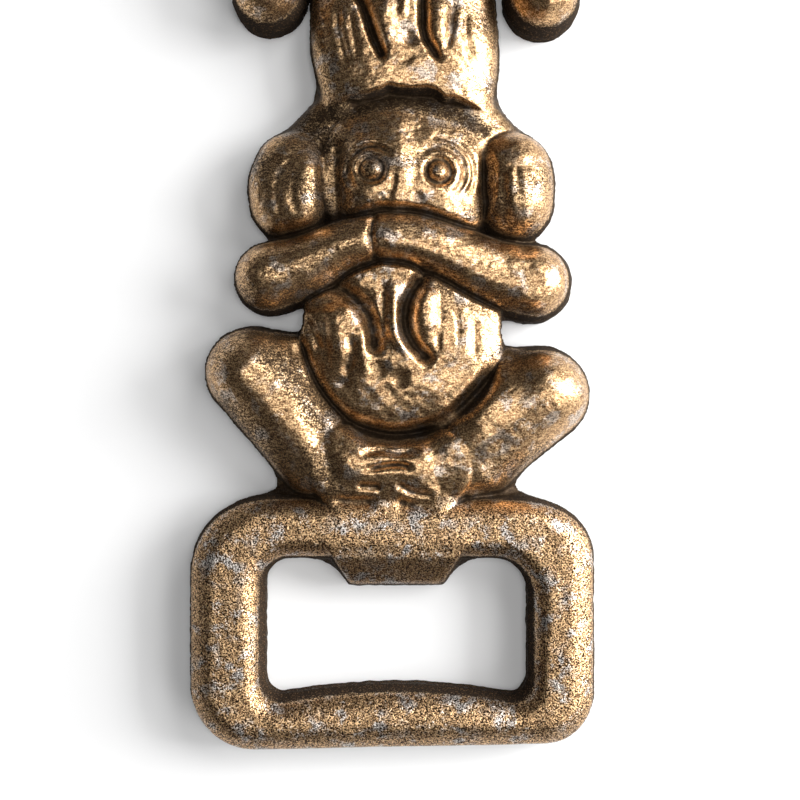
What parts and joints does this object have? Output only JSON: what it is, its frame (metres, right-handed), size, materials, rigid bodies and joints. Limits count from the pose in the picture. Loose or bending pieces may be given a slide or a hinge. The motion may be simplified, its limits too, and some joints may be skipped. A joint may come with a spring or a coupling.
{
  "type": "souvenir bottle opener",
  "caption": "Cast relief bottle opener: a rectangular ring with a prying lip, and a flat-backed handle of monkeys stacked one on another, covering mouth, ears and eyes.",
  "frame": {"origin": "centre of the footprint, on the flat back", "axes": "+Z out of the flat back through the relief, +Y along the opener from the ring to the top head, +X to the right as the relief is looked at"},
  "size_m": [0.0514, 0.158, 0.01],
  "materials": {
    "antique_bronze": "antique bronze paint rubbed back on a sand casting"
  },
  "bodies": {
    "root": {"opener_ring": "antique_bronze", "cap_lip": "antique_bronze", "speak_feet": "antique_bronze", "speak_left_leg": "antique_bronze", "speak_right_leg": "antique_bronze", "speak_torso": "antique_bronze", "speak_left_arm": "antique_bronze", "speak_right_arm": "antique_bronze", "speak_left_shoulder": "antique_bronze", "speak_right_shoulder": "antique_bronze", "speak_head": "antique_bronze", "hear_torso": "antique_bronze", "hear_left_arm": "antique_bronze", "hear_right_arm": "antique_bronze", "hear_left_shoulder": "antique_bronze", "hear_right_shoulder": "antique_bronze", "hear_head": "antique_bronze", "hear_muzzle": "antique_bronze", "see_torso": "antique_bronze", "see_left_arm": "antique_bronze", "see_right_arm": "antique_bronze", "see_left_shoulder": "antique_bronze", "see_right_shoulder": "antique_bronze", "see_head": "antique_bronze", "see_muzzle": "antique_bronze"}
  },
  "joints": []
}
